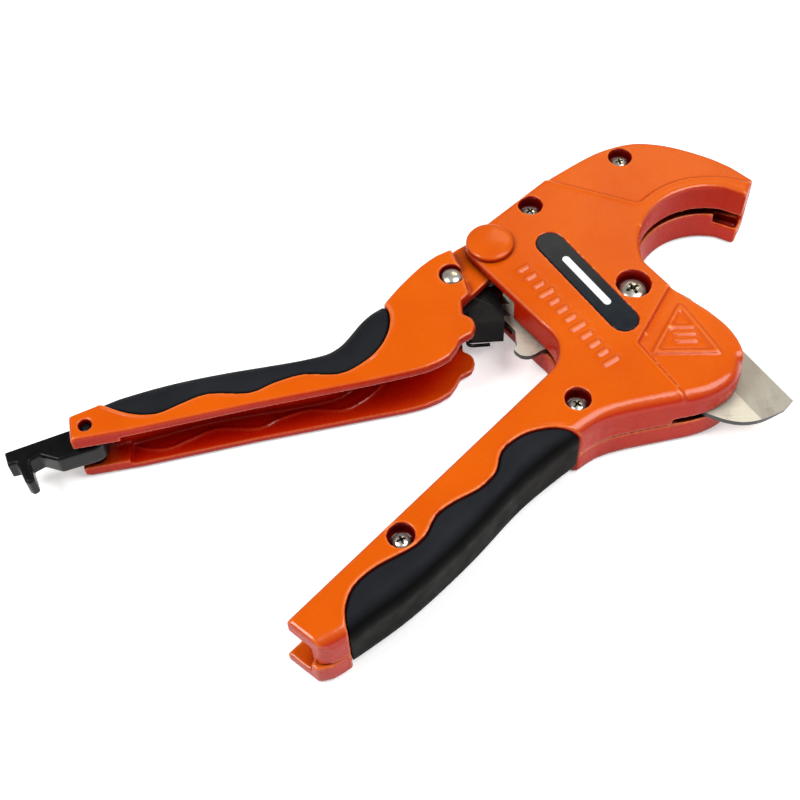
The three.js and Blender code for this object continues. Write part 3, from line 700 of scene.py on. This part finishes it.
TRIANGLE_BARS = [[(9.2, -17.6 - 2.6 * i), (15.6, -17.9 - 2.6 * i)] for i in range(3)]
TROUGH = [(11.6, -4.2), (0.4, -22.2)]
JAW_EDGE = [*arc(JAW_CENTRE, JAW_RADIUS, *JAW_SWEEP, 40), JAW_TIP_INNER, (49, 30.7)]
SCOOP = [(33, 34), (36, 42), (43, 38.6), (50, 36), (44, 28)]


def ridge(distance, height, width):
    return height * np.exp(-(distance / width) ** 2)


def rim(xy, wave, side):
    """Raised lip of a casting along the wavy border of its grip. side is 1 to the left of the border."""
    return ridge(path_distance(xy, beside(smooth(wave), side * 0.75)), 0.42, 0.55)


def shape_upper(co):
    """The upper shell, with rounded edges, lowered hook and lobe faces, and raised lines."""
    xy = co[:, :2]
    inside = inside_distance(xy, BODY)
    edge = np.maximum(rounded_limit(inside, EDGE_ROUND),
                      rounded_limit(path_distance(xy, OUTER_SIDE), OUTER_ROLL))
    lowered = np.maximum(step(inside_distance(xy, HOOK_FACE), -0.1, 0.6),
                         step(inside_distance(xy, LOBE_FACE), -0.1, 0.9))
    top = BODY_HEIGHT - FACE_STEP * lowered - edge
    near_edge = (edge > 0) & (co[:, 2] > 12)
    co[:, 2] = np.where(near_edge, np.minimum(co[:, 2], top), co[:, 2])
    relief = rim(xy, FIXED_WAVE, 1) * step(inside, 3, 6) - ridge(path_distance(xy, TROUGH), 0.22, 0.9)
    for line in (*SCALE_BARS, TRIANGLE, *TRIANGLE_BARS):
        relief += ridge(path_distance(xy, line), 0.34, 0.5)
    for face in (HOOK_FACE, LOBE_FACE):
        relief += ridge(inside_distance(xy, face) + 0.6, 0.2, 0.45)
    co[:, 2] += np.where(co[:, 2] > BODY_HEIGHT - 1.6, relief, 0)
    return co


def shape_lower(co):
    """The lower shell, hollow behind its edge in the blade slot and the scoop at the jaw tip.

    Its wall in the jaw has a draft.
    """
    xy = co[:, :2]
    jaw = path_distance(xy, JAW_EDGE)
    bearing = np.degrees(np.arctan2(xy[:, 1], xy[:, 0]))
    in_slot = (np.hypot(*xy.T) < SLOT_RADIUS) & (bearing > -80) & (bearing < 75) & (co[:, 2] > SLOT_FLOOR)
    in_scoop = (inside_distance(xy, SCOOP) > 0) & (co[:, 2] > SCOOP_FLOOR)
    outer = path_distance(xy, [*OUTER_SIDE, (60, -31), (60, 60), JAW_TIP_OUTER, JAW_TIP_INNER])
    from_edge = np.minimum(jaw, outer)
    trench = TRENCH_DEPTH * step(from_edge, 0.9, 1.7) * (1 - step(from_edge, 7, 9))
    co[:, 2] -= np.where(in_slot | in_scoop, trench, 0)
    draft = JAW_DRAFT * (1 - step(jaw, 1, 4)) * np.clip(1 - co[:, 2] / 9.8, 0, 1)
    to_jaw = np.array(JAW_CENTRE) - xy
    inside = inside_distance(xy, LOWER_BODY)
    near_edge = (inside < 0.8) & (co[:, 2] < 3)
    co[:, 2] = np.where(near_edge, np.maximum(co[:, 2], rounded_limit(inside, 0.8)), co[:, 2])
    co[:, :2] = xy + draft[:, None] * to_jaw / np.hypot(*to_jaw.T)[:, None]
    return co


def shape_moving(co):
    """The movable handle, with rounded plates and a lip along the border of its grip."""
    xy = co[:, :2]
    above = rounded_limit(inside_distance(xy, UPPER_PLATE), EDGE_ROUND)
    below = rounded_limit(inside_distance(xy, LOWER_PLATE), EDGE_ROUND)
    bead = ridge(path_distance(xy, smooth(MOVING_WAVE)), 0.6, 0.5)
    z = co[:, 2]
    z = np.where((above > 0) & (z > 21), np.minimum(z, BODY_HEIGHT - above), z)
    z = np.where((below > 0) & (z < 2.6), np.maximum(z, below), z)
    z += np.where(co[:, 2] > BODY_HEIGHT - 0.2, rim(xy, MOVING_WAVE, -1), 0)
    z += np.where(np.abs(co[:, 2] - 3.3) < 0.3, bead, 0)
    z -= np.where(np.abs(co[:, 2] - (BODY_HEIGHT - 3.3)) < 0.3, bead, 0)
    co[:, 2] = z
    return co


def grip_shape(wave, side, casting_side):
    """Crowned top that drops at the wavy border and rolls over the outer side.

    casting_side is 1 where the casting lies to the left of the border. The rubber closes up to it.
    """
    border = smooth(wave)

    def shape(co):
        xy = co[:, :2]
        from_border = path_distance(xy, border)
        from_side = path_distance(xy, side)
        roll = rounded_limit(from_side, GRIP_ROLL)
        crown = GRIP_CROWN * step(from_border, 0.2, 5)
        drop = 0.45 * (1 - step(from_border, 0, 0.9))
        z = co[:, 2]
        on_top = z > BODY_HEIGHT - 0.9
        limit = BODY_HEIGHT + crown - roll
        z = np.where(on_top, np.minimum(z + (crown - drop), limit), z)
        z = np.where(~on_top & (z > 12) & (from_side < 3.2), np.minimum(z, limit), z)
        z = np.where((z < 10) & (from_side < 3.2), np.maximum(z, roll), z)
        co[:, 2] = z
        closing = casting_side * 0.24 * (1 - step(from_border, 0.4, 1.4))
        co[:, :2] += closing[:, None] * sideways(xy, border)
        return co

    return shape


MOVING_SIDE = beside(smooth(MOVING_OUTER), GRIP_PROUD)
CASTINGS = (
    # node, piece, shape, voxel, rounds, keep, material, slot
    ("upper_body_shell", "upper_body_casting", shape_upper, 0.4, 6, 0.3, PAINT, "body_paint"),
    ("lower_body_shell", "lower_body_casting", shape_lower, 0.4, 8, 0.3, PAINT, "body_paint"),
    ("movable_handle", "movable_handle_casting", shape_moving, 0.32, 7, 0.3, PAINT, "body_paint"),
    ("fixed_handle_grip", "fixed_grip_moulding", grip_shape(FIXED_WAVE, smooth(FIXED_OUTER), 1),
     0.4, 8, 0.5, RUBBER, "rubber"),
    ("movable_handle_grip", "movable_grip_moulding", grip_shape(MOVING_WAVE, MOVING_SIDE, -1),
     0.4, 8, 0.5, RUBBER, "rubber"),
    ("latch", "latch_moulding", lambda co: co, 0.3, 4, 0.6, PLASTIC, "latch_plastic"),
)
for node, name, shape, voxel, rounds, keep, material, slot in CASTINGS:
    finish_piece(cast(node, name, shape, voxel, rounds, keep), node, material)

# ---------------------------------------------------------------- blade, pawl and other plain parts

PLATES = (
    # node, piece, bevel width, bevel segments, material, slot
    ("blade", "blade_plate", 0.12, 2, STEEL, "blade_steel"),
    ("pawl", "pawl_finger", 0.2, 3, STEEL, "blade_steel"),
    ("pawl_bracket", "pawl_bracket_sheet", 0.38, 4, ENAMEL, "black_steel"),
    ("blade_pivot_nut", "pivot_nut_hex", 0.25, 3, NICKEL, "nickel"),
    ("blade_pivot_sleeve", "pivot_sleeve_bush", 0.2, 3, SPRING, "spring_steel"),
)
for node, name, width, segments, material, slot in PLATES:
    finish_piece(crisp(node, name, width, segments), node, material)

LEG_Y = -7.25
LEG_ROUTE = smooth([(-52.9, 9.5), (-52.9, 7.6), (-52.5, 6.1), (-51.3, 5.45), (-49.5, 5.4), (-45.6, 5.5)], 6)
leg = wire("pawl_bracket_leg", [place(x, LEG_Y, z) for x, z in LEG_ROUTE], 0.6)
leg.data.materials.append(ENAMEL)
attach(leg, frame["nodes"]["pawl_bracket"]["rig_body"])

# ---------------------------------------------------------------- screws and rivets


def cross_cutter(centre, size, top, depth, turn):
    """Cross recess with tapered wings."""
    wing = size * 0.23
    tip = [(wing, -wing), (size * 0.9, -wing), (size, -wing * 0.5), (size, wing * 0.5), (size * 0.9, wing)]
    outline = []
    for k in range(4):
        angle = math.radians(90 * k + turn)
        for along, across in tip:
            outline.append((centre[0] + along * math.cos(angle) - across * math.sin(angle),
                            centre[1] + along * math.sin(angle) + across * math.cos(angle)))
    return prism("recess", outline, top - depth, top + 1, 0.45, centre)


def dome(radius, base, height, spacing, fullness=(1, 1)):
    """Profile of a dome, from its rim up towards the axis, a point every few degrees."""
    angles = [math.radians(a) for a in range(0, 90, spacing)]
    return [(radius * math.cos(a) ** fullness[0], base + height * math.sin(a) ** fullness[1]) for a in angles]


def turned(node, name, centre, profile, sides, material):
    obj = lathe(name, centre, profile, sides)
    shade(obj)
    return finish_piece(obj, node, material)


def pan_screw(node, centre, head_radius, head_height, shank, bottom, turn):
    seat = SCREW_SEAT
    crown = dome(head_radius, seat + 0.35 * head_height, 0.65 * head_height, 9)
    profile = [(0, bottom), (shank * 0.5, bottom), (shank, bottom + 1), (shank, seat), (head_radius, seat),
               *crown, (0, seat + head_height)]
    obj = lathe(f"{node}_turned", centre, profile)
    obj = cut(obj, cross_cutter(centre, head_radius * 0.72, seat + head_height, head_height * 0.75, turn))
    obj = edge_bevel(obj, 0.06, 2)
    shade(obj)
    return finish_piece(obj, node, NICKEL)


for (node, centre), turn in zip(BODY_SCREWS.items(), (12, 31, 48, 20)):
    pan_screw(node, centre, 2.8, 2.1, 1.55, 3.5, turn)
pan_screw("blade_pivot_screw", (0, 0), 4.4, 2.7, 2.5, 1.5, 24)

DOME_SEAT = BODY_HEIGHT + 0.15
DOME_RADIUS = 7.7
turned("handle_pivot_rivet", "handle_rivet_dome", HANDLE_PIVOT,
       [(0, 0.2), (5.7, 0.2), (5.9, 0.4), (5.9, 1.1), (3, 1.1), (3, DOME_SEAT), (7.5, DOME_SEAT),
        (DOME_RADIUS, DOME_SEAT + 0.2), *dome(DOME_RADIUS, DOME_SEAT + 0.9, 1.7, 3, (0.7, 0.85)),
        (0, DOME_SEAT + 2.6)],
       96, RIVET_PAINT)

PAWL_SEAT = BODY_HEIGHT - 3.15
PAWL_HEAD = 3.6
PAWL_FOOT = [(PAWL_HEAD * math.sin(math.radians(a)), 2.6 - 1.35 * math.cos(math.radians(a)))
             for a in range(8, 91, 8)]
turned("pawl_rivet", "pawl_rivet_dome", PAWL_PIVOT,
       [(0, 1.25), *PAWL_FOOT, (PAWL_HEAD, 3.15), (2.1, 3.15), (2.1, PAWL_SEAT), (PAWL_HEAD, PAWL_SEAT),
        *dome(PAWL_HEAD, PAWL_SEAT + 0.7, 2.1, 6), (0, PAWL_SEAT + 2.8)],
       72, NICKEL)
turned("latch_pin", "latch_pin_turned", LATCH_PIVOT,
       [(0, 2), (1.45, 2), (1.75, 2.3), (1.75, 21.3), (1.45, 21.6), (0, 21.6)],
       40, ENAMEL)

# ---------------------------------------------------------------- springs


def coil(node, centre, radius, wire_radius, bottom, turns, pitch, start, legs):
    """Torsion spring: a helix with a straight leg at each end."""
    count = round(turns * 40)
    end = start + 360 * turns
    points = [place(*polar(legs, start - 90, polar(radius, start, centre)), bottom)]
    for i in range(count + 1):
        angle, height = start + 360 * turns * i / count, bottom + pitch * turns * i / count
        points.append(place(*polar(radius, angle, centre), height))
    points.append(place(*polar(legs, end + 90, polar(radius, end, centre)), bottom + pitch * turns))
    return finish_piece(wire(f"{node}_wire", points, wire_radius), node, SPRING)


coil("blade_return_spring", (0, 0), 6.9, 0.5, 13.05, 2.25, 1.05, 200, 1)
coil("pawl_spring", PAWL_PIVOT, 3.3, 0.38, 13.7, 2, 0.8, 300, 2.5)
coil("handle_return_spring", HANDLE_PIVOT, 4.7, 0.6, 7.8, 5.5, 1.4, 20, 3)

# ---------------------------------------------------------------- badge

BADGE_ENDS = ((-24.1, 18.4), (-5.2, -13.7))
BADGE_RADIUS = 4.62
STRIPE_RADIUS = 1.25


def stadium(a, b, radius, count=24):
    """Outline of two half circles round a and b with straight sides."""
    heading = math.degrees(math.atan2(b[1] - a[1], b[0] - a[0]))
    return [*arc(b, radius, heading - 90, heading + 90, count),
            *arc(a, radius, heading + 90, heading + 270, count)]


badge = prism("badge_insert", stadium(*BADGE_ENDS, BADGE_RADIUS), BODY_HEIGHT - 0.9, BODY_HEIGHT - 0.05)
badge = edge_bevel(badge, 0.3, 4)
shade(badge)
finish_piece(badge, "badge_plate", BADGE)


def along_badge(t):
    """A place on the badge's long axis, 0 and 1 at the centres of its round ends."""
    return tuple(BADGE_ENDS[0][i] + (BADGE_ENDS[1][i] - BADGE_ENDS[0][i]) * t for i in range(2))


stripe = prism("badge_stripe", stadium(along_badge(0.22), along_badge(0.78), STRIPE_RADIUS),
               BODY_HEIGHT - 0.15, BODY_HEIGHT + 0.03)
stripe = edge_bevel(stripe, 0.05, 2)
shade(stripe)
stripe.data.materials.append(WHITE)
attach(stripe, "body")

# ---------------------------------------------------------------- stage, light and camera


def stage_material():
    n = Nodes("glowing_pale_floor")
    n.set(Base_Color=(0.93, 0.93, 0.93, 1), Roughness=0.6, Specular_IOR_Level=0.2)
    # The floor glows, lighting the tool from below and washing out its shadows
    n.set(Emission_Color=(1, 1, 1, 1), Emission_Strength=0.4)
    return n.material


FLOOR_REACH = 3.0
FLOOR_Z = -0.0004
corners = [(x * FLOOR_REACH, y * FLOOR_REACH, 0) for x, y in ((-1, -1), (1, -1), (1, 1), (-1, 1))]
floor_mesh = bpy.data.meshes.new("floor")
floor_mesh.from_pydata(corners, [], [(0, 1, 2, 3)])
floor = new_object("floor", floor_mesh)
floor.location.z = FLOOR_Z
floor.data.materials.append(stage_material())

world = bpy.data.worlds.new("studio")
world.use_nodes = True
background = world.node_tree.nodes["Background"]
background.inputs["Color"].default_value = (1.0, 1.0, 1.0, 1)
background.inputs["Strength"].default_value = 0.2
bpy.context.scene.world = world


def softbox(name, location, target, size, power, colour=(1, 1, 1)):
    light = bpy.data.lights.new(name, "AREA")
    light.shape = "RECTANGLE"
    light.size, light.size_y = size
    light.energy = power
    light.color = colour
    obj = new_object(name, light)
    obj.location = location
    obj.rotation_mode = "QUATERNION"
    obj.rotation_quaternion = (Vector(target) - Vector(location)).to_track_quat("-Z", "Y")


softbox("key_left", (-0.48, -0.12, 0.7), (0, 0, 0), (0.3, 0.36), 5)
softbox("key_right", (0.48, -0.12, 0.7), (0, 0, 0), (0.46, 0.56), 5)
softbox("back_right", (0.32, 0.7, 0.66), (0.08, 0.06, 0), (0.4, 0.3), 1.2, (1, 0.87, 0.6))

ELEVATION = math.radians(56.14)
ROLL = math.radians(-3.59)
FOCAL_PIXELS = 1297.6
IMAGE_PIXELS = 800
SENSOR_WIDTH = 36
CAMERA_PLACE = (-75.78, -254.34, 344.9)
camera_data = bpy.data.cameras.new("camera")
camera = new_object("camera", camera_data)
camera_data.sensor_width = SENSOR_WIDTH
camera_data.lens = SENSOR_WIDTH * FOCAL_PIXELS / IMAGE_PIXELS
camera_data.clip_start = 0.01
camera_data.clip_end = 20
forward = Vector((0, math.cos(ELEVATION), -math.sin(ELEVATION)))
level = Vector((1, 0, 0))
upright = level.cross(forward)
right = level * math.cos(ROLL) + upright * math.sin(ROLL)
up = upright * math.cos(ROLL) - level * math.sin(ROLL)
rotation = Matrix((right, up, -forward)).transposed()
camera.matrix_world = Matrix.Translation(place(*CAMERA_PLACE)) @ rotation.to_4x4()
bpy.context.scene.camera = camera
bpy.context.scene.view_settings.view_transform = "Standard"
